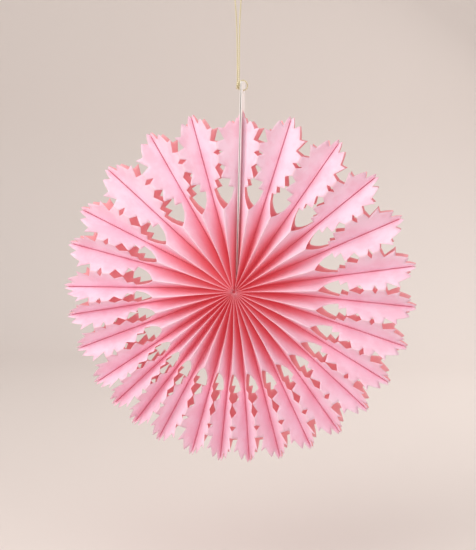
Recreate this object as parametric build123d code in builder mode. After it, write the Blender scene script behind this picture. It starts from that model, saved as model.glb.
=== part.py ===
from build123d import *
from math import cos, radians, sin, sqrt, tan
import os

# Paper and fan, in millimetres
fan_radius = 177.0
fold_height = 30.0
paper_thickness = 0.15
spine_radius = 1.6
glue_height = 1.5
cut_overrun = 2.0

# A cord's corner takes this share of the shorter run beside it
corner_share = 0.45

# Near the spine each wall is pinched to this share of the half sleeve
pinch_share = 0.8

# Clear strips that close the circle at the top
strip_thickness = 0.5
strip_gap = 0.8
strip_width = 24.0
strip_start = 10.0
strip_reach = 205.0
strip_corner = 3.0
hole_diameter = 5.0
hole_below_top = 10.4

# Gold thread, tied through the holes and hung from above
thread_diameter = 1.4
thread_sides = 12
hang_drop = 317.0
knot_diameter = 4.4
knot_end_diameter = 3.4
knot_length = 8.0
knot_belly_share = 0.5
knot_cover = 1.0
knot_beside_hole = 4.2
knot_above_hole = 6.0

# The bight's route from the knot through the holes, whose tops rest on it, and back over the
# strips: sideways and up from the middle of the holes
bight_route = ((-4.2, 3.4), (-2.2, 1.8), (3.5, 1.8), (5.4, 6.6), (2.6, 11.3), (-1.6, 11.5), (-4.2, 8.6))

# The thread's route: the two sides rise together from the knot, then open out to the hanging point
sides_apart = 1.6
parting_drop = 63.5
open_route = ((3.2, -30.0), (5.6, 0.6))

# Each sleeve's share of the full turn, clockwise from the strips as seen from the front
pitch_shares = (
    16.1, 17.1, 16.0, 15.4, 15.9, 13.2, 13.2, 13.0, 11.3, 11.8, 10.7, 10.8, 10.3, 9.8,
    9.7, 12.1, 9.7, 9.2, 9.2, 12.8, 11.6, 9.5, 14.6, 11.8, 15.9, 18.0, 14.7, 16.6,
)
first_valley_share = 1.3 / 360

# Radii, as shares of the fan radius, where a panel bends a little as it twists outwards. The last
# comes sooner where a panel would lean by more than this share of its own width
first_fold_share = 0.463
last_fold_share = 0.85
greatest_lean_share = 0.9

# The die's outline on one panel: share of the fan radius, share of the fold height
arch_shares = ((0.463, 1.0), (0.487, 0.68), (0.527, 0.45), (0.573, 0.34))
inner_teeth_shares = ((0.582, 0.66), (0.621, 0.51), (0.633, 0.96), (0.692, 0.71))
bridge_shares = ((0.716, 0.765), (0.787, 0.832))
bridge_notch_shares = (0.776, 0.79)
outer_teeth_shares = (
    (0.842, 0.68), (0.908, 0.95), (0.905, 0.75), (0.96, 0.64), (0.955, 0.42), (1.0, 0.30), (0.99, 0),
)


def panel_side(foot, top, depth, past):
    """Corners of one side of a panel. Past the last fold its plane runs on to a flat tip."""
    height = depth
    if past:
        height += past * (depth - glue_height) / (foot - top)
    return ((foot + past, 0), (foot + past, glue_height), (top, height), (0, height))


class Sleeve:
    """One folded sleeve, laid along X with its folds at plus and minus Z, in its own wedge."""

    def __init__(self, pitch, set_back):
        self.slope = tan(radians(pitch / 2))
        self.apex = set_back / 2 / sin(radians(pitch / 2))
        self.aside = set_back / 2 / cos(radians(pitch / 2))
        self.spine = self.apex + spine_radius
        spread = greatest_lean_share * (fold_height - glue_height) / self.slope
        self.last_fold = min(last_fold_share * fan_radius, self.apex + spread)

    def half_width(self, along):
        """Distance from the folds' plane to the glue line."""
        return self.slope * (along - self.apex)

    def half_fold(self, along):
        """Half the width of the folded edge, which is two sheets thick where there is room."""
        return min(paper_thickness, self.half_width(along))

    def rise(self, along):
        """Depth from the glue line to the fold of a panel whose fixed width leans aside."""
        lean = self.half_width(along) - self.half_fold(along)
        return sqrt((fold_height - glue_height) ** 2 - lean**2)

    def section(self, along):
        """A quarter of the paper's outline across the sleeve: outer side, then inner side."""
        folded = min(along, self.last_fold)
        width, fold = self.half_width(folded), self.half_fold(folded)
        depth = glue_height + self.rise(folded)
        wall = min(paper_thickness, width * pinch_share)
        past = self.half_width(along) - width
        outer = panel_side(width, fold, depth, past)
        inner = panel_side(width - wall, 0, depth - wall, past)[:-1]
        return [[Vector(along, across, up) for across, up in side] for side in (outer, inner)]

    def die_point(self, along_share, height_share):
        """A point of the die's outline on the leaning panel, seen square to the folds' plane."""
        along = along_share * fan_radius
        height = height_share * fold_height
        if height <= glue_height:
            return (along, height)
        folded = min(along, self.last_fold)
        stand = self.rise(folded) / (fold_height - glue_height)
        return (along, glue_height + (height - glue_height) * stand)


def creased_sheet(near, far):
    """Flat triangles between two rows of points, creased from the near fold to the far glue line."""
    triangles = []
    for corner in range(1, len(near)):
        triangles.append((near[corner - 1], far[corner - 1], near[corner]))
        triangles.append((far[corner - 1], far[corner], near[corner]))
    return triangles


def creased_wall(sections):
    """The paper through the sections: flat triangles, closed at the cut and mirrored edges."""
    outlines = [outer + inner[::-1] for outer, inner in sections]
    polygons = [outlines[0], outlines[-1]]
    for (outer, inner), (far_outer, far_inner) in zip(sections, sections[1:]):
        polygons += creased_sheet(outer, far_outer) + creased_sheet(inner, far_inner)
        for end in (0, -1):
            polygons.append((outer[end], far_outer[end], far_inner[end], inner[end]))
    return Solid(Shell([Face(Wire.make_polygon(corners)) for corners in polygons]))


def quarter_sleeve(sleeve):
    """A quarter of the sleeve's paper, cut by the die through its whole depth."""
    first_fold = first_fold_share * fan_radius
    stations = (sleeve.spine, first_fold, sleeve.last_fold, fan_radius + cut_overrun)
    wall = creased_wall([sleeve.section(along) for along in stations])
    proud = 1 + cut_overrun / fold_height
    arch = [sleeve.die_point(*shares) for shares in arch_shares]
    teeth = [sleeve.die_point(*shares) for shares in inner_teeth_shares]
    bridges = [[sleeve.die_point(share, proud) for share in shares] for shares in bridge_shares]
    notch = sleeve.die_point(*bridge_notch_shares)
    tips = [sleeve.die_point(*shares) for shares in outer_teeth_shares]
    fork = arch[0]
    over_fork = (fork[0], fork[1] + cut_overrun)
    spine_foot = (sleeve.spine, 0)
    spine_top = (sleeve.spine, fold_height + cut_overrun)
    with BuildPart() as quarter:
        add(wall)
        with BuildSketch(Plane.XZ):
            with BuildLine():
                Polyline(spine_foot, spine_top, over_fork, *arch, *teeth)
                Polyline(teeth[-1], *bridges[0], notch, *bridges[1], *tips, spine_foot)
            make_face()
        extrude(amount=fan_radius, both=True, mode=Mode.INTERSECT)
    return quarter.part


def build_cell(number, pitch, bisector, set_back, side):
    """A whole sleeve from its quarter, mirrored and set in its place in the circle."""
    sleeve = Sleeve(pitch, set_back)
    with BuildPart() as whole:
        add(quarter_sleeve(sleeve))
        mirror(about=Plane.XY)
        mirror(about=Plane.XZ)
    turn = radians(bisector)
    along = Vector(sin(turn), 0, cos(turn))
    across = Vector(-cos(turn), 0, sin(turn))
    seat = Plane(fan_centre + across * side * sleeve.aside, x_dir=along, z_dir=(0, -1, 0))
    with BuildPart() as cell:
        with Locations(seat.location):
            add(whole.part)
    cell.part.label = f"paper_cell_{number:02d}"
    return cell.part


def build_strip(name, side):
    """A clear strip in the plane of the first valley, with its hanging hole near the top."""
    facing = Plane(fan_centre, x_dir=valley_along, z_dir=valley_across * side)
    length = strip_reach - strip_start
    with BuildPart() as strip:
        with BuildSketch(facing.offset(strip_gap / 2)):
            with Locations((strip_start + length / 2, 0)):
                Rectangle(length, strip_width)
            fillet(vertices().group_by(Axis(fan_centre, valley_along))[-1], strip_corner)
            with Locations((strip_reach - hole_below_top, 0)):
                Circle(hole_diameter / 2, mode=Mode.SUBTRACT)
        extrude(amount=strip_thickness)
    strip.part.label = name
    return strip.part


def corner_radii(points):
    """The radius at each corner of a route, as large as its two runs allow."""
    radii = []
    for before, corner, after in zip(points, points[1:], points[2:]):
        arriving, leaving = corner - before, after - corner
        half_turn = radians(arriving.get_angle(leaving)) / 2
        radii.append(corner_share * min(arriving.length, leaving.length) / tan(half_turn))
    return radii


def build_cord(points):
    """A thread of a many-sided section along straight runs joined by tangent arcs."""
    radii = corner_radii(points)
    with BuildPart() as cord:
        with BuildLine() as route:
            FilletPolyline(*points, radius=radii)
        line = route.wires()[0]
        with BuildSketch(Plane(line @ 0, z_dir=line % 0)):
            section = RegularPolygon(thread_diameter / 2, thread_sides)
        sweep(path=line)
    print("corner radii", [round(radius, 1) for radius in radii])
    print("length", round(line.length, 1), "volume by length", round(section.area * line.length, 1),
          "volume", round(cord.part.volume, 1))
    return cord.part


def hanging_side(side):
    """One side of the doubled thread, from inside the knot up to the hanging point."""
    aside = knot_centre.X + side * sides_apart / 2
    foot = knot_centre.Z + knot_length / 2 - knot_cover
    rise = [Vector(aside, 0, foot), Vector(aside, 0, -parting_drop)]
    return rise + [Vector(side * aside, 0, up) for aside, up in open_route]


def build_thread():
    """The gold thread: its knot, the bight through both holes, and the length that it hangs by."""
    bight = build_cord([hole_centre - valley_across * aside + valley_along * up for aside, up in bight_route])
    hanging = build_cord(hanging_side(1) + hanging_side(-1)[::-1])
    belly, high = knot_diameter / 2, knot_length / 2 * knot_belly_share
    end, top = knot_end_diameter / 2, knot_length / 2
    profile = ((0, -top), (end, -top), (belly, -high), (belly, high), (end, top), (0, top))
    with BuildPart() as thread:
        with BuildSketch(Plane(knot_centre, x_dir=(1, 0, 0), z_dir=(0, -1, 0))):
            with BuildLine():
                Polyline(*profile, close=True)
            make_face()
        revolve(axis=Axis(knot_centre, (0, 0, 1)))
        add(bight)
        add(hanging)
    thread.part.label = "hanging_thread"
    return thread.part


os.makedirs("parts", exist_ok=True)

# The origin is the point that the thread hangs from, so the fan's centre lies straight below it
fan_centre = Vector(0, 0, -hang_drop)
first_valley = 360 * first_valley_share
valley_along = Vector(sin(radians(first_valley)), 0, cos(radians(first_valley)))
valley_across = Vector(-cos(radians(first_valley)), 0, sin(radians(first_valley)))
hole_centre = fan_centre + valley_along * (strip_reach - hole_below_top)
knot_centre = hole_centre + Vector(-knot_beside_hole, 0, knot_above_hole)

strip_set_back = strip_thickness + strip_gap / 2
bisector = first_valley
last = len(pitch_shares)
for number, share in enumerate(pitch_shares, start=1):
    pitch = 360 * share / sum(pitch_shares)
    set_back = strip_set_back if number in (1, last) else 0
    side = {1: -1, last: 1}.get(number, 0)
    bisector += pitch / 2
    cell = build_cell(number, pitch, bisector, set_back, side)
    bisector += pitch / 2
    export_step(cell, f"parts/{cell.label}.step")

for piece in (build_strip("strip_left", 1), build_strip("strip_right", -1), build_thread()):
    export_step(piece, f"parts/{piece.label}.step")
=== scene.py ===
"""Paper fan rosette: smooth folded sleeves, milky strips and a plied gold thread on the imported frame.

Lengths are in metres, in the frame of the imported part: +Z up, the fan's front towards -Y, and the
origin at the point that the thread hangs from. Lengths that stand in the source in millimetres are
written with the factor MM.
"""

import logging
from dataclasses import dataclass, field
from enum import Enum

import bpy
import numpy as np
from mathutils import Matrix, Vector
from mathutils.geometry import delaunay_2d_cdt


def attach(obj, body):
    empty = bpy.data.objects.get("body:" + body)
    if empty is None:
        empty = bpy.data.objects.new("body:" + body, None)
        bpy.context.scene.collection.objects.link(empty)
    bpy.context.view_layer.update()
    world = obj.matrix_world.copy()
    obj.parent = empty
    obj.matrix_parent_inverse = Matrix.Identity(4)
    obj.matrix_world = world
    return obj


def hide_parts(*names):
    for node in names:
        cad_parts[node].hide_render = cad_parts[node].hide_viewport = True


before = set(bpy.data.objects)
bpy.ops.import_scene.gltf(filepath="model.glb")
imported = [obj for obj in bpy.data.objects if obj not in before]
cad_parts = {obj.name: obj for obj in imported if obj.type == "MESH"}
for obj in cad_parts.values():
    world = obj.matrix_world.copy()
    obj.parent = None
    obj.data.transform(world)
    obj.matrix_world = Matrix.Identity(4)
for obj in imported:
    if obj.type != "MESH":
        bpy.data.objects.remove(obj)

LOG = logging.getLogger("paper_fan")
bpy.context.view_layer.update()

MM = 0.001
Colour = tuple[float, float, float]
Array = np.ndarray

# Linear black, and the range that the fibre effect's cloudy tone mostly keeps to
BLACK = (0.0, 0.0, 0.0, 1.0)
TONE_RANGE = (0.3, 0.7)


class Slot(Enum):
    """The record's material slots."""

    PAPER = "pink_paper"
    STRIP = "clear_strip"
    THREAD = "gold_thread"


def unit(vectors: Array) -> Array:
    """Scale each row to length one."""
    return vectors / np.linalg.norm(vectors, axis=-1, keepdims=True)


def smooth_step(values: Array, low: float, high: float) -> Array:
    """Rise from nought at low to one at high along 3s^2 - 2s^3."""
    share = np.clip((values - low) / (high - low), 0.0, 1.0)
    return share * share * (3.0 - 2.0 * share)


def linear(colour: Colour) -> tuple[float, float, float, float]:
    """Turn a display colour of 0 to 255 into linear light.

    Args:
        colour: Red, green and blue as shown on a display.

    Returns:
        Red, green and blue as shares of full light, and alpha one.
    """
    shares = np.asarray(colour, float) / 255.0
    light = np.where(shares <= 0.04045, shares / 12.92, ((shares + 0.055) / 1.055) ** 2.4)
    return (float(light[0]), float(light[1]), float(light[2]), 1.0)


def build_mesh(name: str, points: Array, triangles: Array, uv: Array | None = None,
               marks: dict[str, Array] | None = None) -> bpy.types.Object:
    """Make an object at the origin from whole arrays.

    Args:
        name: Object and mesh name.
        points: Corner positions, one row each.
        triangles: Corner numbers, three a row.
        uv: Pattern coordinates of each corner, or None.
        marks: Named numbers of each corner that the material reads, or None.

    Returns:
        The new object, linked to the scene.
    """
    mesh = bpy.data.meshes.new(name)
    mesh.vertices.add(len(points))
    mesh.vertices.foreach_set("co", np.ascontiguousarray(points, np.float32).ravel())
    mesh.loops.add(triangles.size)
    mesh.loops.foreach_set("vertex_index", np.ascontiguousarray(triangles, np.int32).ravel())
    mesh.polygons.add(len(triangles))
    mesh.polygons.foreach_set("loop_start", np.arange(0, triangles.size, 3, dtype=np.int32))
    mesh.polygons.foreach_set("use_smooth", np.full(len(triangles), True))
    if uv is not None:
        layer = mesh.uv_layers.new(name="pattern")
        layer.data.foreach_set("uv", np.ascontiguousarray(uv[triangles.ravel()], np.float32).ravel())
    for mark, values in (marks or {}).items():
        layer = mesh.attributes.new(mark, "FLOAT", "POINT")
        layer.data.foreach_set("value", np.ascontiguousarray(values, np.float32))
    mesh.update(calc_edges=True)
    mesh.validate()
    thing = bpy.data.objects.new(name, mesh)
    bpy.context.scene.collection.objects.link(thing)
    return thing


class NodeSheet:
    """A short way to place and join shader nodes in one tree."""

    def __init__(self, tree: bpy.types.NodeTree) -> None:
        """Keep the tree that the nodes go into."""
        self.tree = tree

    def add(self, kind: str, **values: object) -> bpy.types.Node:
        """Place a node and set its plain properties and input sockets.

        Args:
            kind: Node type name.
            **values: Properties of the node, or inputs by name with spaces as underscores.

        Returns:
            The node.
        """
        node = self.tree.nodes.new(kind)
        for key, value in values.items():
            socket = key.replace("_", " ").title()
            if hasattr(node, key):
                setattr(node, key, value)
            elif socket in node.inputs:
                node.inputs[socket].default_value = value
            else:
                raise KeyError(f"{kind} has no {key}")
        return node

    def join(self, start: bpy.types.NodeSocket, end: bpy.types.NodeSocket) -> None:
        """Link one socket to another."""
        self.tree.links.new(start, end)

    def blend(self, share: bpy.types.NodeSocket, low: object, high: object) -> bpy.types.NodeSocket:
        """Mix two colours by a mask.

        Args:
            share: Socket of the mask, nought for low and one for high.
            low: Colour or colour socket.
            high: Colour or colour socket.

        Returns:
            The mixed colour's socket.
        """
        node = self.tree.nodes.new("ShaderNodeMix")
        node.data_type = "RGBA"
        self.join(share, node.inputs[0])
        for side, socket in ((low, node.inputs[6]), (high, node.inputs[7])):
            if isinstance(side, bpy.types.NodeSocket):
                self.join(side, socket)
            else:
                socket.default_value = side
        return node.outputs[2]

    def ramp(self, value: bpy.types.NodeSocket, low: float, high: float,
             start: float = 0.0, end: float = 1.0) -> bpy.types.NodeSocket:
        """Map a value from low..high to start..end along a smooth step, and hold it outside.

        Args:
            value: Socket of the value.
            low: Value that gives the start.
            high: Value that gives the end.
            start: Result at and below low.
            end: Result at and above high.

        Returns:
            The result's socket.
        """
        node = self.tree.nodes.new("ShaderNodeMapRange")
        node.interpolation_type = "SMOOTHSTEP"
        self.join(value, node.inputs["Value"])
        for name, number in (("From Min", low), ("From Max", high), ("To Min", start), ("To Max", end)):
            node.inputs[name].default_value = number
        return node.outputs["Result"]

    def maths(self, operation: str, left: object, right: object = 0.0) -> bpy.types.NodeSocket:
        """Work out one sum.

        Args:
            operation: Name of the sum.
            left: Number or socket.
            right: Number or socket.

        Returns:
            The result's socket.
        """
        node = self.tree.nodes.new("ShaderNodeMath")
        node.operation = operation
        for side, socket in ((left, node.inputs[0]), (right, node.inputs[1])):
            if isinstance(side, bpy.types.NodeSocket):
                self.join(side, socket)
            else:
                socket.default_value = side
        return node.outputs[0]


def fibre_group() -> bpy.types.ShaderNodeTree:
    """Build the shared fibre effect: a cloudy tone, short fibre flecks and a height.

    Returns:
        The node group with inputs Cloud Scale and Fibre Scale, and outputs Tone, Fleck and Height.
    """
    group = bpy.data.node_groups.new("pressed_fibres", "ShaderNodeTree")
    for name, value in (("Cloud Scale", 40.0), ("Fibre Scale", 900.0)):
        socket = group.interface.new_socket(name, in_out="INPUT", socket_type="NodeSocketFloat")
        socket.default_value = value
    for name in ("Tone", "Fleck", "Height"):
        group.interface.new_socket(name, in_out="OUTPUT", socket_type="NodeSocketFloat")
    sheet = NodeSheet(group)
    inside = group.nodes.new("NodeGroupInput")
    outside = group.nodes.new("NodeGroupOutput")
    place = group.nodes.new("ShaderNodeTexCoord")
    cloud = sheet.add("ShaderNodeTexNoise", detail=3.0, roughness=0.55)
    fibre = sheet.add("ShaderNodeTexNoise", detail=4.0, roughness=0.6, distortion=1.2)
    for node, name in ((cloud, "Cloud Scale"), (fibre, "Fibre Scale")):
        sheet.join(place.outputs["Object"], node.inputs["Vector"])
        sheet.join(inside.outputs[name], node.inputs["Scale"])
    faint, full = 0.58, 0.78
    fleck = sheet.ramp(fibre.outputs["Fac"], faint, full)
    sheet.join(cloud.outputs["Fac"], outside.inputs["Tone"])
    sheet.join(fleck, outside.inputs["Fleck"])
    sheet.join(fibre.outputs["Fac"], outside.inputs["Height"])
    return group


@dataclass(frozen=True)
class PaperFinish:
    """Thin dyed paper: matt and slightly cloudy, with painted light and shade on it.

    The crest of each fold is paler: partly crease whitening, partly a painted highlight. The mark
    openness is the share of the sky that a point sees from inside its fold, and inside is one on
    the inner walls. A painted glow (emission) in the low folds, along the glued veins and on the
    inner walls stands for light that has passed from wall to wall and through the paper. The inner
    walls also carry a painted shade of deeper coral, and painted shade deepens the pink towards the
    fan's middle.
    """

    name: str = Slot.PAPER.value
    tint: Colour = (250, 217, 234)
    cloudy_tint: Colour = (247, 201, 220)
    fleck_tint: Colour = (252, 224, 237)
    # Paler crest of each fold: partly crease whitening, partly a painted highlight
    crease_highlight_tint: Colour = (251, 220, 232)
    # Painted shade: a deeper pink towards the fan's middle
    middle_shade_tint: Colour = (238, 150, 164)
    middle_shade_share: float = 0.2
    rim_share: float = 0.62
    ridge_pull: float = 0.2
    # Painted glow: emission colours that stand for bounced light deep in the folds and along the veins
    glow_tint: Colour = (98, 28, 33)
    vein_glow_tint: Colour = (104, 50, 56)
    # Painted shade: the inner walls are coloured a deeper coral
    inner_shade_tint: Colour = (232, 172, 178)
    deep_sky: float = 0.02
    open_sky: float = 0.38
    vein_share: float = 0.13
    fleck_strength: float = 0.35
    crease_highlight_share: float = 0.014
    soft_edge: float = 0.3
    cloud_range: tuple = (0.35, 0.65)
    rough_range: tuple = (0.67, 0.78)
    sheen: float = 0.12
    specular: float = 0.3
    cloud_scale: float = 55.0
    fibre_scale: float = 850.0
    fibre_depth: float = 0.05 * MM
    fibre_strength: float = 0.5

    def material(self, fibres: bpy.types.ShaderNodeTree) -> bpy.types.Material:
        """Make the material. Its pattern map has the way out along U and the height to the fold in V.

        Args:
            fibres: The shared fibre effect.

        Returns:
            The finished material.
        """
        material = bpy.data.materials.new(self.name)
        material.use_nodes = True
        sheet = NodeSheet(material.node_tree)
        shader = material.node_tree.nodes["Principled BSDF"]
        grain = sheet.add("ShaderNodeGroup")
        grain.node_tree = fibres
        grain.inputs["Cloud Scale"].default_value = self.cloud_scale
        grain.inputs["Fibre Scale"].default_value = self.fibre_scale
        tone = sheet.ramp(grain.outputs["Tone"], *self.cloud_range)
        colour = sheet.blend(tone, linear(self.tint), linear(self.cloudy_tint))
        fleck = sheet.maths("MULTIPLY", grain.outputs["Fleck"], self.fleck_strength)
        colour = sheet.blend(fleck, colour, linear(self.fleck_tint))
        sky = sheet.add("ShaderNodeAttribute", attribute_name="openness").outputs["Fac"]
        pattern = sheet.add("ShaderNodeUVMap", uv_map="pattern")
        parts = sheet.add("ShaderNodeSeparateXYZ")
        sheet.join(pattern.outputs["UV"], parts.inputs["Vector"])
        # Paler crest along the fold: crease whitening and a painted highlight
        crease_highlight = sheet.ramp(parts.outputs["Y"], 1.0 - self.crease_highlight_share,
                            1.0 - self.soft_edge * self.crease_highlight_share)
        colour = sheet.blend(crease_highlight, colour, linear(self.crease_highlight_tint))
        # Painted shade towards the fan's middle, which reaches further out near the glue line than at the
        # crest
        ridge = sheet.maths("MULTIPLY", sheet.maths("POWER", parts.outputs["Y"], 2.0), self.ridge_pull)
        outwards = sheet.maths("ADD", parts.outputs["X"], ridge)
        outwards = sheet.ramp(outwards, self.middle_shade_share, self.rim_share)
        colour = sheet.blend(outwards, linear(self.middle_shade_tint), colour)
        # Painted shade on the inner walls
        inside = sheet.add("ShaderNodeAttribute", attribute_name="inside").outputs["Fac"]
        colour = sheet.blend(inside, colour, linear(self.inner_shade_tint))
        sheet.join(colour, shader.inputs["Base Color"])
        # Painted glow (emission) in the low folds, along the veins and on the inner walls
        fold = sheet.ramp(sky, self.deep_sky, self.open_sky, 1.0, 0.0)
        vein = sheet.ramp(parts.outputs["Y"], self.soft_edge * self.vein_share, self.vein_share, 1.0, 0.0)
        glow = sheet.blend(fold, BLACK, linear(self.glow_tint))
        glow = sheet.blend(sheet.maths("MAXIMUM", inside, vein), glow, linear(self.vein_glow_tint))
        sheet.join(glow, shader.inputs["Emission Color"])
        shader.inputs["Emission Strength"].default_value = 1.0
        rough = sheet.ramp(grain.outputs["Tone"], *TONE_RANGE, *self.rough_range)
        sheet.join(rough, shader.inputs["Roughness"])
        bump = sheet.add("ShaderNodeBump", strength=self.fibre_strength, distance=self.fibre_depth)
        sheet.join(grain.outputs["Height"], bump.inputs["Height"])
        sheet.join(bump.outputs["Normal"], shader.inputs["Normal"])
        shader.inputs["Sheen Weight"].default_value = self.sheen
        shader.inputs["Specular IOR Level"].default_value = self.specular
        return material


@dataclass(frozen=True)
class StripFinish:
    """Thin milky plastic with fine scuffs."""

    name: str = Slot.STRIP.value
    tint: Colour = (255, 252, 250)
    scuff_tint: Colour = (250, 244, 240)
    rough_range: tuple = (0.3, 0.45)
    refraction: float = 1.45
    cloud_scale: float = 120.0
    scuff_scale: float = 420.0

    def material(self, fibres: bpy.types.ShaderNodeTree) -> bpy.types.Material:
        """Make the material. The fibre effect stands in here for scuffs.

        Args:
            fibres: The shared fibre effect.

        Returns:
            The finished material.
        """
        material = bpy.data.materials.new(self.name)
        material.use_nodes = True
        sheet = NodeSheet(material.node_tree)
        shader = material.node_tree.nodes["Principled BSDF"]
        grain = sheet.add("ShaderNodeGroup")
        grain.node_tree = fibres
        grain.inputs["Cloud Scale"].default_value = self.cloud_scale
        grain.inputs["Fibre Scale"].default_value = self.scuff_scale
        colour = sheet.blend(grain.outputs["Fleck"], linear(self.tint), linear(self.scuff_tint))
        sheet.join(colour, shader.inputs["Base Color"])
        rough = sheet.ramp(grain.outputs["Tone"], *TONE_RANGE, *self.rough_range)
        sheet.join(rough, shader.inputs["Roughness"])
        shader.inputs["IOR"].default_value = self.refraction
        return material


@dataclass(frozen=True)
class ThreadFinish:
    """Gold thread: bright flat metal yarn wound round a pale core, with painted shade in dark bands."""

    name: str = Slot.THREAD.value
    bright: Colour = (255, 246, 204)
    # Painted shade in the crevices between the plies' turns
    shaded: Colour = (122, 96, 48)
    bands: float = 1.2566
    crevice_shade_range: tuple = (0.1, 0.5)
    unevenness: float = 0.6
    metallic: float = 0.3
    rough_range: tuple = (0.3, 0.48)
    cloud_scale: float = 500.0
    fibre_scale: float = 2600.0
    band_depth: float = 0.08 * MM
    band_strength: float = 0.6

    def material(self, fibres: bpy.types.ShaderNodeTree) -> bpy.types.Material:
        """Make the material. The pattern map runs along the ply in U and round it in V.

        The metal yarn winds with two bands to each turn of the plies. The bands' relief is a bump; their
        dark colour is painted shade in the crevices between the plies.

        Args:
            fibres: The shared fibre effect.

        Returns:
            The finished material.
        """
        material = bpy.data.materials.new(self.name)
        material.use_nodes = True
        sheet = NodeSheet(material.node_tree)
        shader = material.node_tree.nodes["Principled BSDF"]
        grain = sheet.add("ShaderNodeGroup")
        grain.node_tree = fibres
        grain.inputs["Cloud Scale"].default_value = self.cloud_scale
        grain.inputs["Fibre Scale"].default_value = self.fibre_scale
        pattern = sheet.add("ShaderNodeUVMap", uv_map="pattern")
        wound = sheet.add("ShaderNodeTexWave", wave_type="BANDS", bands_direction="DIAGONAL",
                          scale=self.bands, distortion=self.unevenness)
        sheet.join(pattern.outputs["UV"], wound.inputs["Vector"])
        # Painted shade: dark bands between the plies
        crevice_shade = sheet.ramp(wound.outputs["Fac"], *self.crevice_shade_range)
        colour = sheet.blend(crevice_shade, linear(self.shaded), linear(self.bright))
        colour = sheet.blend(grain.outputs["Fleck"], colour, linear(self.bright))
        sheet.join(colour, shader.inputs["Base Color"])
        rough = sheet.ramp(grain.outputs["Tone"], *TONE_RANGE, *self.rough_range)
        sheet.join(rough, shader.inputs["Roughness"])
        bump = sheet.add("ShaderNodeBump", strength=self.band_strength, distance=self.band_depth)
        sheet.join(wound.outputs["Fac"], bump.inputs["Height"])
        sheet.join(bump.outputs["Normal"], shader.inputs["Normal"])
        shader.inputs["Metallic"].default_value = self.metallic
        return material


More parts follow.
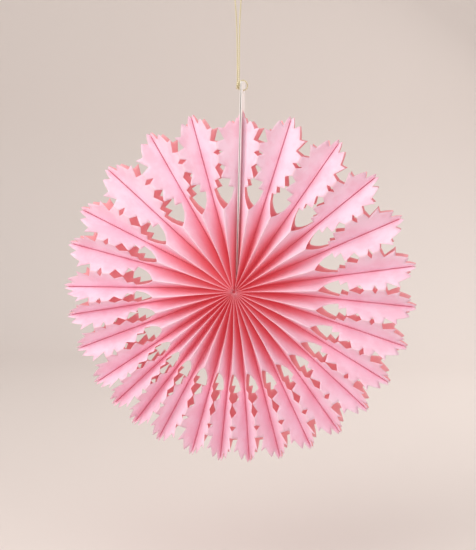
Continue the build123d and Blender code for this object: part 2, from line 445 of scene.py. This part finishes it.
@dataclass
class DieCut:
    """The flat pattern of one panel, from the mid line to the fold, as the die cuts it."""

    radius: float
    fold_height: float
    start: float
    arch: tuple = ((0.463, 1.0), (0.473, 0.84), (0.491, 0.66), (0.522, 0.47), (0.573, 0.34))
    inner_teeth: tuple = ((0.582, 0.66), (0.621, 0.51), (0.633, 0.96), (0.644, 0.95), (0.692, 0.71))
    bridges: tuple = ((0.716, 1.0), (0.760, 1.0), (0.775, 0.76), (0.790, 1.0), (0.832, 1.0))
    outer_teeth: tuple = ((0.842, 0.69), (0.894, 0.88), (0.912, 0.96), (0.905, 0.69), (0.938, 0.62),
                          (0.970, 0.52), (0.968, 0.47), (0.944, 0.29), (0.972, 0.24), (1.0, 0.15))
    tip: tuple = (0.974, 0.0)
    rounding: float = 0.6 * MM
    rounding_share: float = 0.4
    rounding_points: int = 5
    spacing: float = 3.4 * MM
    rows: int = 12
    clear_share: float = 0.35
    least_run: float = 0.001 * MM
    least_area: float = 1e-12
    join_distance: float = 1e-5

    def outline(self) -> Array:
        """Give the outline, its teeth rounded.

        Each corner C between its neighbours P and N becomes the curve
        (1-s)^2 A + 2s(1-s) C + s^2 B, where A and B lie towards P and N at the rounding's distance.

        Returns:
            Points as (way out, height) in metres, once round.
        """
        size = np.array([self.radius, self.fold_height])
        first, top = np.array([[self.start, 0.0]]), np.array([[self.start, self.fold_height]])
        inner = np.array(self.arch + self.inner_teeth + self.bridges) * size
        outer = np.array(self.outer_teeth + (self.tip,)) * size
        corners = np.vstack([first, top, inner, outer])
        back, on = np.roll(corners, 1, axis=0) - corners, np.roll(corners, -1, axis=0) - corners
        back_run, on_run = (np.linalg.norm(side, axis=1, keepdims=True) for side in (back, on))
        trim = np.minimum(self.rounding, self.rounding_share * np.minimum(back_run, on_run))
        edge = (corners[:, 1:] <= 0.0) | (corners[:, 1:] >= self.fold_height)
        trim = np.where(edge, 0.0, trim)
        before, after = corners + back / back_run * trim, corners + on / on_run * trim
        share = np.linspace(0.0, 1.0, self.rounding_points)[None, :, None]
        curve = (before[:, None] * (1 - share) ** 2 + corners[:, None] * 2 * share * (1 - share)
                 + after[:, None] * share**2).reshape(-1, 2)
        keep = np.linalg.norm(curve - np.roll(curve, 1, axis=0), axis=1) > self.least_run
        return self.divided(curve[keep])

    def divided(self, loop: Array) -> Array:
        """Add points to the long edges, no further apart than the spacing.

        Args:
            loop: Corners once round.

        Returns:
            The same loop with the new points between its corners.
        """
        on = np.roll(loop, -1, axis=0)
        counts = np.maximum(1, np.ceil(np.linalg.norm(on - loop, axis=1) / self.spacing)).astype(int)
        owner = np.repeat(np.arange(len(loop)), counts)
        step = np.arange(len(owner)) - np.repeat(np.cumsum(counts) - counts, counts)
        share = (step / counts[owner])[:, None]
        return loop[owner] * (1 - share) + on[owner] * share

    def triangles(self) -> tuple[Array, Array]:
        """Fill the outline with an even net of triangles.

        Every second row of the net is shifted by half the spacing. Its points keep clear of the
        outline, and the filling runs in millimetres.

        Returns:
            Points as (way out, height) in metres, and triangles as corner numbers.
        """
        loop = self.outline()
        ways = np.arange(self.start, self.radius, self.spacing)
        heights = np.linspace(0.0, self.fold_height, self.rows)
        grid = np.stack(np.meshgrid(ways, heights, indexing="ij"), axis=-1)
        grid[:, 1::2, 0] += self.spacing / 2
        grid = grid.reshape(-1, 2)
        run = np.roll(loop, -1, axis=0) - loop
        offset = grid[:, None] - loop[None]
        share = np.clip((offset * run).sum(-1) / (run * run).sum(-1), 0.0, 1.0)
        away = np.linalg.norm(offset - share[..., None] * run, axis=-1).min(axis=1)
        inner = grid[(away > self.spacing * self.clear_share) & within(grid, loop)]
        points = np.vstack([loop, inner]) / MM
        round_loop = np.column_stack([np.arange(len(loop)), np.roll(np.arange(len(loop)), -1)])
        result = delaunay_2d_cdt([Vector(point) for point in points.tolist()], round_loop.tolist(),
                                 [], 0, self.join_distance, False)
        flat = np.array([tuple(point) for point in result[0]]) * MM
        faces = np.array(result[2])
        faces = faces[within(flat[faces].mean(axis=1), loop)]
        side_a = flat[faces[:, 1]] - flat[faces[:, 0]]
        side_b = flat[faces[:, 2]] - flat[faces[:, 0]]
        area = side_a[:, 0] * side_b[:, 1] - side_a[:, 1] * side_b[:, 0]
        faces = np.where((area < 0)[:, None], faces[:, ::-1], faces)[np.abs(area) > self.least_area]
        used, places = np.unique(faces, return_inverse=True)
        return flat[used], places.reshape(-1, 3)


def within(points: Array, loop: Array) -> Array:
    """Tell which points lie inside a loop: an outward ray crosses it an odd number of times.

    Args:
        points: Points to test, one row each.
        loop: Corners once round.

    Returns:
        True for each point inside.
    """
    start, end = loop[None], np.roll(loop, -1, axis=0)[None]
    x, y = points[:, :1], points[:, 1:]
    spans = (start[..., 1] > y) != (end[..., 1] > y)
    rise = np.where(spans, end[..., 1] - start[..., 1], 1.0)
    cross = start[..., 0] + (y - start[..., 1]) / rise * (end[..., 0] - start[..., 0])
    return (spans & (x < cross)).sum(axis=1) % 2 == 1


def rim_edges(faces: Array) -> Array:
    """Find the edges that only one triangle has.

    Args:
        faces: Triangles as corner numbers.

    Returns:
        Both ends of each edge, in its triangle's direction.
    """
    edges = np.vstack([faces[:, [0, 1]], faces[:, [1, 2]], faces[:, [2, 0]]])
    _, place, count = np.unique(np.sort(edges, axis=1), axis=0, return_index=True, return_counts=True)
    return edges[place[count == 1]]


@dataclass
class Sleeve:
    """One folded sleeve of the fan: four panels between the folds and the glued mid lines."""

    number: int
    pitch: float
    bisector: float
    set_back: float
    side: int
    centre: Array
    radius: float
    fold_height: float
    glue_height: float = 1.5 * MM
    thickness: float = 0.15 * MM
    fold_gap: float = 0.10 * MM
    last_fold_share: float = 0.85
    fold_softness: float = 3.0 * MM
    greatest_fold_share: float = 0.6
    pinch_share: float = 0.8
    flat_share: float = 0.05
    wavy_share: float = 0.55
    bulge_height: float = 0.55 * MM
    wander_width: float = 0.5 * MM
    curl_share: float = 0.86
    curl_steepness: float = 2.5
    curl_range: tuple = (-0.4 * MM, 1.6 * MM)
    wave_turns: tuple = (1.5, 3.2, 6.5)
    wave_shares: tuple = (0.6, 0.3, 0.15)
    wave_spread: float = 0.3
    inner_sky: float = 0.05
    hub: float = 3.2 * MM
    seed: int = 11

    def __post_init__(self) -> None:
        """Work out the wedge that the sleeve fills."""
        half = np.radians(self.pitch / 2)
        self.slope = float(np.tan(half))
        self.apex = self.set_back / 2 / float(np.sin(half))
        self.aside = self.set_back / 2 / float(np.cos(half))

    def panel(self, flat: Array, face: int, hand: int) -> tuple[Array, Array]:
        """Bend the flat pattern into one panel of the sleeve.

        At a way out x the panel is a straight line from the glue line at half width
        w = (x - apex) tan(pitch / 2) to the fold, and its fixed width makes it rise by
        r = sqrt(width^2 - (w - fold)^2). A height h of the pattern lies at the share
        t = (h - glue) / width of that line. Beyond the last fold the panel runs on flat.
        A slow wave sin(pi t) times three sines along x moves the paper off its plane, the
        fold wanders sideways by t times three more sines, and the cut tips curl outwards.

        Args:
            flat: Points of the pattern as (way out, height).
            face: One for the front half, minus one for the back half.
            hand: One or minus one for the two sides of the fold.

        Returns:
            Points of the outer surface and of the inner one, in the part's frame.
        """
        way, height = flat[:, 0], flat[:, 1]
        width = self.fold_height - self.glue_height
        last = self.last_fold_share * self.radius
        soft = self.fold_softness
        folded = way - soft * np.logaddexp(0.0, (way - last) / soft)
        half = self.slope * (way - self.apex)
        foot = self.slope * (folded - self.apex)
        fold = np.minimum(self.fold_gap, self.greatest_fold_share * foot)
        rise = np.sqrt(width**2 - (foot - fold) ** 2)
        share = (height - self.glue_height) / width
        up = np.where(share > 0, self.glue_height + share * rise, height)
        across = half - np.clip(share, 0.0, None) * (foot - fold)
        lean = np.stack([rise, foot - fold], axis=1) / width
        lean = np.where((share > 0)[:, None], lean, np.array([1.0, 0.0]))
        random = np.random.default_rng(self.seed + 100 * self.number + 10 * (face + 1) + hand + 1)
        shared = np.random.default_rng(self.seed + 100 * self.number + 10 * (face + 1) + 7)
        high = np.clip(share, 0, 1)
        outward = smooth_step(way, self.flat_share * self.radius, self.wavy_share * self.radius)
        bulge = self.waves(way, random, self.bulge_height) * np.sin(np.pi * high) * outward
        loose = np.clip((way / self.radius - self.curl_share) / (1 - self.curl_share), 0, 1) ** 2
        curl = loose * np.clip(share * self.curl_steepness, 0, 1) * random.uniform(*self.curl_range)
        wander = self.waves(way, shared, self.wander_width) * high * outward
        wall = np.minimum(self.thickness, self.pinch_share * np.abs(foot))[:, None]
        outer = np.stack([across, up], axis=1) + lean * (bulge + curl)[:, None]
        inner = outer - lean * wall
        return tuple(self.placed(way, side[:, 0] * hand + wander, side[:, 1] * face)
                     for side in (outer, inner))

    def openness(self, flat: Array) -> Array:
        """Give the share of the sky that each point of an outer surface sees.

        In a V of half width w and depth H, a point at the height share v sees the sky from its
        own panel's lean, atan(w / H), to the far fold, atan(w (1 + v) / (H (1 - v))). With the
        sum of both angles a, the share is (1 - cos a) / 2.

        Args:
            flat: Points of the pattern as (way out, height).

        Returns:
            The share of each point.
        """
        half = self.slope * (flat[:, 0] - self.apex) / self.fold_height
        height = flat[:, 1] / self.fold_height
        angle = np.arctan(half) + np.arctan2(half * (1 + height), 1 - height)
        return (1 - np.cos(angle)) / 2

    def waves(self, way: Array, random: np.random.Generator, size: float) -> Array:
        """Add three sines of falling size along the way out.

        Args:
            way: Way out of each point.
            random: Source of the lengths and starts of the sines.
            size: Height of the whole wave.

        Returns:
            The wave at each point.
        """
        count = len(self.wave_turns)
        spread = random.uniform(1 - self.wave_spread, 1 + self.wave_spread, count)
        turns = spread * np.array(self.wave_turns)
        starts = random.uniform(0, 2 * np.pi, count)
        sizes = size * np.array(self.wave_shares)
        angle = 2 * np.pi * turns * (way[:, None] / self.radius) + starts
        return (np.sin(angle) * sizes).sum(axis=1)

    def placed(self, way: Array, across: Array, front: Array) -> Array:
        """Carry points from the sleeve's own axes to the part's frame.

        Args:
            way: Way out along the sleeve.
            across: Way from the folds' plane, anticlockwise.
            front: Way from the glue lines to the front.

        Returns:
            Points in the part's frame.
        """
        turn = np.radians(self.bisector)
        along = np.array([np.sin(turn), 0.0, np.cos(turn)])
        sideways = np.array([-np.cos(turn), 0.0, np.sin(turn)])
        seat = self.centre + sideways * self.side * self.aside
        forward = np.array([0.0, -1.0, 0.0])
        return (seat + way[:, None] * along + across[:, None] * sideways + front[:, None] * forward)

    def build(self, cuts: dict[int, tuple[Array, Array]]) -> bpy.types.Object:
        """Make the sleeve's mesh: each panel an outer and an inner surface joined along the cut.

        Args:
            cuts: The flat pattern's points and triangles for hand one and for hand minus one.

        Returns:
            The sleeve, which stands for its paper cell.
        """
        points, triangles, uv = [], [], []
        skies, insides = [], []
        for face in (1, -1):
            for hand in (1, -1):
                start = sum(len(part) for part in points)
                flat, faces = cuts[hand]
                flat = flat + np.array([self.apex, 0.0]) * (flat[:, :1] < self.hub)
                count = len(flat)
                rim = rim_edges(faces)
                pattern = flat / np.array([self.radius, self.fold_height])
                outer, inner = self.panel(flat, face, hand)
                skin = np.vstack([faces, faces[:, ::-1] + count])
                wall = np.vstack([np.column_stack([rim[:, 1], rim[:, 0], rim[:, 0] + count]),
                                  np.column_stack([rim[:, 1], rim[:, 0] + count, rim[:, 1] + count])])
                shell = np.vstack([skin, wall])
                if face * hand < 0:
                    shell = shell[:, ::-1]
                points += [outer, inner]
                triangles.append(shell + start)
                uv += [pattern, pattern]
                skies += [self.openness(flat), np.full(count, self.inner_sky)]
                insides.append(np.repeat([0.0, 1.0], count))
        marks = {"openness": np.concatenate(skies), "inside": np.concatenate(insides)}
        thing = build_mesh(f"folded_sleeve_{self.number:02d}", np.vstack(points),
                           np.vstack(triangles), np.vstack(uv), marks)
        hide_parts(f"paper_cell_{self.number:02d}")
        return thing


@dataclass
class PaperFan:
    """The ring of sleeves, opened wider at the top than at the bottom."""

    finish: PaperFinish = field(default_factory=PaperFinish)
    radius: float = 177.0 * MM
    fold_height: float = 30.0 * MM
    drop: float = 317.0 * MM
    spine: float = 1.6 * MM
    strip_set_back: float = 0.9 * MM
    first_valley: float = 1.3
    pitches: tuple = (
        16.1, 17.1, 16.0, 15.4, 15.9, 13.2, 13.2, 13.0, 11.3, 11.8, 10.7, 10.8, 10.3, 9.8,
        9.7, 12.1, 9.7, 9.2, 9.2, 12.8, 11.6, 9.5, 14.6, 11.8, 15.9, 18.0, 14.7, 16.6)
    strip_teeth: tuple = ((0.842, 0.69), (0.894, 0.88), (0.912, 0.96), (0.902, 0.69), (0.922, 0.62),
                          (0.940, 0.50), (0.937, 0.45), (0.920, 0.30), (0.952, 0.22), (0.948, 0.16),
                          (0.975, 0.10))
    strip_tip: tuple = (0.996, 0.0)

    def sleeves(self) -> list[Sleeve]:
        """Lay out the sleeves clockwise from the strips.

        Returns:
            The sleeves, the first and the last set back to leave room for the strips.
        """
        pitches = np.array(self.pitches) * 360.0 / sum(self.pitches)
        bisectors = self.first_valley + np.cumsum(pitches) - pitches / 2
        centre = np.array([0.0, 0.0, -self.drop])
        last = len(pitches)
        sides = {1: -1, last: 1}
        return [Sleeve(number, float(pitch), float(bisector),
                       self.strip_set_back if number in sides else 0.0, sides.get(number, 0),
                       centre, self.radius, self.fold_height)
                for number, (pitch, bisector) in enumerate(zip(pitches, bisectors), start=1)]

    def build(self, fibres: bpy.types.ShaderNodeTree) -> None:
        """Make and dress every sleeve and attach it to the root body. Panels beside the strips have a
        narrower pattern.

        Args:
            fibres: The shared fibre effect.
        """
        material = self.finish.material(fibres)
        whole = DieCut(self.radius, self.fold_height, self.spine).triangles()
        narrow = DieCut(self.radius, self.fold_height, self.spine,
                        outer_teeth=self.strip_teeth, tip=self.strip_tip).triangles()
        LOG.info("flat pattern: %d points, %d triangles", len(whole[0]), len(whole[1]))
        for sleeve in self.sleeves():
            cuts = {hand: narrow if hand == -sleeve.side else whole for hand in (1, -1)}
            thing = sleeve.build(cuts)
            thing.data.materials.append(material)
            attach(thing, "root")
            LOG.info("%s: %d triangles", thing.name, len(thing.data.polygons))


@dataclass
class ClearStrips:
    """The two milky strips, whose frame solids have the right shape already."""

    finish: StripFinish = field(default_factory=StripFinish)
    nodes: tuple = ("strip_left", "strip_right")

    def dress(self, fibres: bpy.types.ShaderNodeTree) -> None:
        """Give both strips their finish.

        Args:
            fibres: The shared fibre effect.
        """
        material = self.finish.material(fibres)
        for name in self.nodes:
            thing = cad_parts[name]
            thing.data.materials.clear()
            thing.data.materials.append(material)
            LOG.info("%s: dressed", name)


@dataclass
class GoldThread:
    """The doubled gold thread with its knot and the bight through the strips."""

    finish: ThreadFinish = field(default_factory=ThreadFinish)
    diameter: float = 1.4 * MM
    ply_pitch: float = 4.0 * MM
    ply_sides: int = 8
    ply_radius_share: float = 0.28
    swing_share: float = 0.22
    hanging_spacing: float = 0.28 * MM
    bight_spacing: float = 0.25 * MM
    curve_steps: int = 64
    fan_drop: float = 317.0 * MM
    first_valley: float = 1.3
    hole_reach: float = 194.6 * MM
    knot_beside_hole: float = 4.2 * MM
    knot_above_hole: float = 6.0 * MM
    knot_foot: float = 3.0 * MM
    sides_apart: float = 1.6 * MM
    parting_drop: float = 63.5 * MM
    knot_turns: float = 4.2
    knot_radius: float = 1.45 * MM
    knot_height: float = 6.6 * MM
    knot_slant: float = 0.25 * MM
    knot_points: int = 180
    opening: tuple = ((3.2, -30.0), (5.6, 0.6))
    bight: tuple = ((-4.2, 3.4), (-2.2, 1.8), (3.5, 1.8), (5.4, 6.6), (2.6, 11.3), (-1.6, 11.5),
                    (-4.2, 8.6))

    def __post_init__(self) -> None:
        """Find the middle of the strips' holes and of the knot."""
        turn = np.radians(self.first_valley)
        self.along = np.array([np.sin(turn), 0.0, np.cos(turn)])
        self.across = np.array([np.cos(turn), 0.0, -np.sin(turn)])
        self.hole = np.array([0.0, 0.0, -self.fan_drop]) + self.along * self.hole_reach
        self.knot = self.hole + np.array([-self.knot_beside_hole, 0.0, self.knot_above_hole])

    def hanging_route(self) -> Array:
        """Lay the route from the knot up, over the hanging point and down again.

        Returns:
            Control points, one row each.
        """
        foot = self.knot[2] + self.knot_foot
        rows = []
        for side in (1, -1):
            aside = self.knot[0] + side * self.sides_apart / 2
            rise = [(aside, 0.0, foot), (aside, 0.0, -self.parting_drop)]
            rows.append(rise + [(side * x * MM, 0.0, z * MM) for x, z in self.opening])
        return np.array(rows[0] + rows[1][::-1])

    def bight_route(self) -> Array:
        """Lay the route through both holes and back over the strips, as control points."""
        steps = np.array(self.bight) * MM
        return self.hole + steps[:, :1] * self.across + steps[:, 1:] * self.along

    def spline_points(self, name: str, route: Array, spacing: float) -> Array:
        """Read even points from a smooth curve.

        Args:
            name: Name of the passing curve.
            route: Control points of the curve.
            spacing: Distance between points.

        Returns:
            Points along the curve.
        """
        curve = bpy.data.curves.new(name, "CURVE")
        curve.dimensions = "3D"
        curve.resolution_u = self.curve_steps
        spline = curve.splines.new("NURBS")
        spline.points.add(len(route) - 1)
        spline.points.foreach_set("co", np.column_stack([route, np.ones(len(route))]).ravel())
        spline.order_u = 3
        spline.use_endpoint_u = True
        line = bpy.data.objects.new(name, curve)
        mesh = bpy.data.meshes.new_from_object(line)
        points = np.zeros(len(mesh.vertices) * 3)
        mesh.vertices.foreach_get("co", points)
        points = points.reshape(-1, 3)
        bpy.data.objects.remove(line)
        bpy.data.curves.remove(curve)
        bpy.data.meshes.remove(mesh)
        return self.evened(points, spacing)

    def evened(self, points: Array, spacing: float) -> Array:
        """Space points evenly along their own line.

        Args:
            points: Points of the line.
            spacing: Distance between the new points.

        Returns:
            The new points, with both ends kept.
        """
        reach = np.concatenate([[0.0], np.cumsum(np.linalg.norm(np.diff(points, axis=0), axis=1))])
        count = max(8, int(round(reach[-1] / spacing)) + 1)
        even = np.linspace(0.0, reach[-1], count)
        return np.stack([np.interp(even, reach, points[:, axis]) for axis in range(3)], axis=1)

    def plied(self, name: str, line: Array, diameter: float, plies: int = 2) -> bpy.types.Object:
        """Wind plies round a line and give each a round section.

        Every route here lies near one plane y = constant, so the line's own frame is its
        tangent T, the fixed direction Y and N = T x Y. Ply k is
        line + q (cos a N + sin a Y) with a = 2 pi length / pitch + 2 pi k / plies, and its
        section is a circle of the ply's radius in the same plane.

        Args:
            name: Object name.
            line: Even points of the middle line.
            diameter: Outer diameter of the whole thread.
            plies: Number of plies.

        Returns:
            The new object.
        """
        reach = np.concatenate([[0.0], np.cumsum(np.linalg.norm(np.diff(line, axis=0), axis=1))])
        tangent = unit(np.gradient(line, axis=0))
        depth = np.broadcast_to(np.array([0.0, 1.0, 0.0]), line.shape)
        normal = unit(np.cross(tangent, depth))
        depth = np.cross(normal, tangent)
        turn = 2 * np.pi * np.linspace(0, 1, self.ply_sides, endpoint=False)
        points, triangles, uv = [], [], []
        ply_radius, swing = self.ply_radius_share * diameter, self.swing_share * diameter
        count = len(line)
        for ply in range(plies):
            angle = 2 * np.pi * (reach / self.ply_pitch + ply / plies)
            aside, behind = np.cos(angle)[:, None], np.sin(angle)[:, None]
            middle = line + swing * (aside * normal + behind * depth)
            cosines, sines = np.cos(turn)[None, :, None], np.sin(turn)[None, :, None]
            ring = cosines * normal[:, None] + sines * depth[:, None]
            tube = (middle[:, None] + ply_radius * ring).reshape(-1, 3)
            start = sum(len(part) for part in points)
            step, side = np.meshgrid(np.arange(count - 1), np.arange(self.ply_sides), indexing="ij")
            here = step * self.ply_sides + side
            there = step * self.ply_sides + (side + 1) % self.ply_sides
            up_here, up_there = here + self.ply_sides, there + self.ply_sides
            walls = np.vstack([np.stack([here, there, up_here], -1).reshape(-1, 3),
                               np.stack([there, up_there, up_here], -1).reshape(-1, 3)])
            fan = np.arange(1, self.ply_sides - 1)
            low = np.column_stack([np.zeros_like(fan), fan + 1, fan])
            high = np.column_stack([np.zeros_like(fan), fan, fan + 1])
            high += (count - 1) * self.ply_sides
            points.append(tube)
            triangles.append(np.vstack([walls, low, high]) + start)
            round_share = np.tile(turn / (2 * np.pi), count)
            along = np.repeat(reach / self.ply_pitch, self.ply_sides)
            uv.append(np.column_stack([along, round_share]))
        return build_mesh(name, np.vstack(points), np.vstack(triangles), np.vstack(uv))

    def knot_line(self) -> Array:
        """Wind the knot: a coil of a little over four turns round both sides, its ends tucked in.

        The coil's radius swells as sqrt(1 - u^2 / 2) with u from -1 to 1 along its height.

        Returns:
            Points of the coil's middle line.
        """
        share = np.linspace(-1.0, 1.0, self.knot_points)
        angle = np.pi * self.knot_turns * share
        swell = np.sqrt(1.0 - share**2 / 2) * self.knot_radius
        return self.knot + np.column_stack([swell * np.cos(angle) + self.knot_slant * share,
                                            swell * np.sin(angle), self.knot_height / 2 * share])

    def build(self, fibres: bpy.types.ShaderNodeTree) -> None:
        """Args:
            fibres: The shared fibre effect.
        """
        material = self.finish.material(fibres)
        hanging = self.spline_points("hanging_line", self.hanging_route(), self.hanging_spacing)
        through = self.spline_points("bight_line", self.bight_route(), self.bight_spacing)
        pieces = [self.plied("gold_thread", hanging, self.diameter),
                  self.plied("thread_bight", through, self.diameter),
                  self.plied("thread_knot", self.knot_line(), self.diameter)]
        for piece in pieces:
            piece.data.materials.append(material)
            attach(piece, "root")
            LOG.info("%s: %d triangles", piece.name, len(piece.data.polygons))
        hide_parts("hanging_thread")


@dataclass(frozen=True)
class Lamp:
    """One soft square lamp that faces the fan's middle."""

    name: str
    place: tuple
    size: float
    power: float
    tint: Colour = (255, 252, 248)

    def hang(self, aim: Vector) -> None:
        """Put the lamp in its place.

        Args:
            aim: Point that the lamp faces.
        """
        data = bpy.data.lights.new(self.name, "AREA")
        data.size = self.size
        data.energy = self.power
        data.color = linear(self.tint)[:3]
        thing = bpy.data.objects.new(self.name, data)
        thing.location = self.place
        thing.rotation_euler = (aim - thing.location).to_track_quat("-Z", "Y").to_euler()
        bpy.context.scene.collection.objects.link(thing)


@dataclass
class Studio:
    """Pale sweep, soft lamps and the camera of the photograph's view."""

    azimuth: float = 7.7
    elevation: float = 6.7
    distance: float = 1.26
    aim: tuple = (0.0, 0.0, -0.3035)
    lens: float = 82.5
    sensor: float = 36.0
    nearest: float = 0.01
    fan_middle: tuple = (0.0, 0.0, -0.317)
    floor_drop: float = 0.62
    floor_front: float = -5.0
    bend_start: float = 1.2
    bend_radius: float = 0.5
    bend_points: int = 24
    sweep_side: float = 9.0
    sweep_height: float = 7.0
    sweep_tint: Colour = (224, 215, 211)
    sweep_roughness: float = 0.95
    sky_tint: Colour = (250, 247, 243)
    sky_strength: float = 0.6
    lamps: tuple = (
        Lamp("key", (-1.0, -1.1, 0.35), 1.2, 13.0),
        Lamp("top", (-0.3, -0.9, 1.5), 1.4, 9.0),
        Lamp("fill", (1.7, -1.5, 0.5), 1.6, 9.0, (255, 250, 246)),
        Lamp("back", (0.7, 1.1, 0.5), 1.0, 9.0))

    def place_camera(self) -> None:
        """Set the camera on its bearing from the aim point."""
        turn, tilt = np.radians([self.azimuth, self.elevation])
        bearing = Vector((np.sin(turn) * np.cos(tilt), -np.cos(turn) * np.cos(tilt), np.sin(tilt)))
        data = bpy.data.cameras.new("view")
        data.lens = self.lens
        data.sensor_width = self.sensor
        data.clip_start = self.nearest
        camera = bpy.data.objects.new("view", data)
        camera.location = Vector(self.aim) + bearing * self.distance
        camera.rotation_euler = bearing.to_track_quat("Z", "Y").to_euler()
        bpy.context.scene.collection.objects.link(camera)
        bpy.context.scene.camera = camera

    def sweep(self) -> None:
        """Lay a floor that curves up into a backdrop: a quarter circle between two flats."""
        bend, back = self.bend_radius, self.bend_start
        turn = np.linspace(0, np.pi / 2, self.bend_points)
        depth = np.concatenate([[self.floor_front], back + bend * np.sin(turn), [back + bend]])
        rise = np.concatenate([[0.0], bend * (1 - np.cos(turn)), [self.sweep_height]]) - self.floor_drop
        sides = np.tile([-self.sweep_side, self.sweep_side], len(depth))
        points = np.column_stack([sides, np.repeat(depth, 2), np.repeat(rise, 2)])
        row = np.arange(len(depth) - 1) * 2
        triangles = np.vstack([np.column_stack([row, row + 1, row + 3]),
                               np.column_stack([row, row + 3, row + 2])])
        ground = build_mesh("studio_sweep", points, triangles)
        material = bpy.data.materials.new("studio_sweep")
        material.use_nodes = True
        shader = material.node_tree.nodes["Principled BSDF"]
        shader.inputs["Base Color"].default_value = linear(self.sweep_tint)
        shader.inputs["Roughness"].default_value = self.sweep_roughness
        ground.data.materials.append(material)

    def light(self) -> None:
        """Hang a key at the left, a top light, fills at the right and behind, and an even sky."""
        for lamp in self.lamps:
            lamp.hang(Vector(self.fan_middle))
        world = bpy.data.worlds.new("studio")
        world.use_nodes = True
        sky = world.node_tree.nodes["Background"]
        sky.inputs["Color"].default_value = linear(self.sky_tint)
        sky.inputs["Strength"].default_value = self.sky_strength
        bpy.context.scene.world = world

    def build(self) -> None:
        """Make the camera, the sweep and the lamps."""
        self.place_camera()
        self.sweep()
        self.light()
        bpy.context.scene.view_settings.view_transform = "Standard"


def main() -> None:
    """Build the view, the thread, the fan and the strips in that order."""
    logging.basicConfig(level=logging.INFO, format="%(name)s: %(message)s")
    Studio().build()
    fibres = fibre_group()
    GoldThread().build(fibres)
    PaperFan().build(fibres)
    ClearStrips().dress(fibres)


if __name__ == "__main__":
    main()
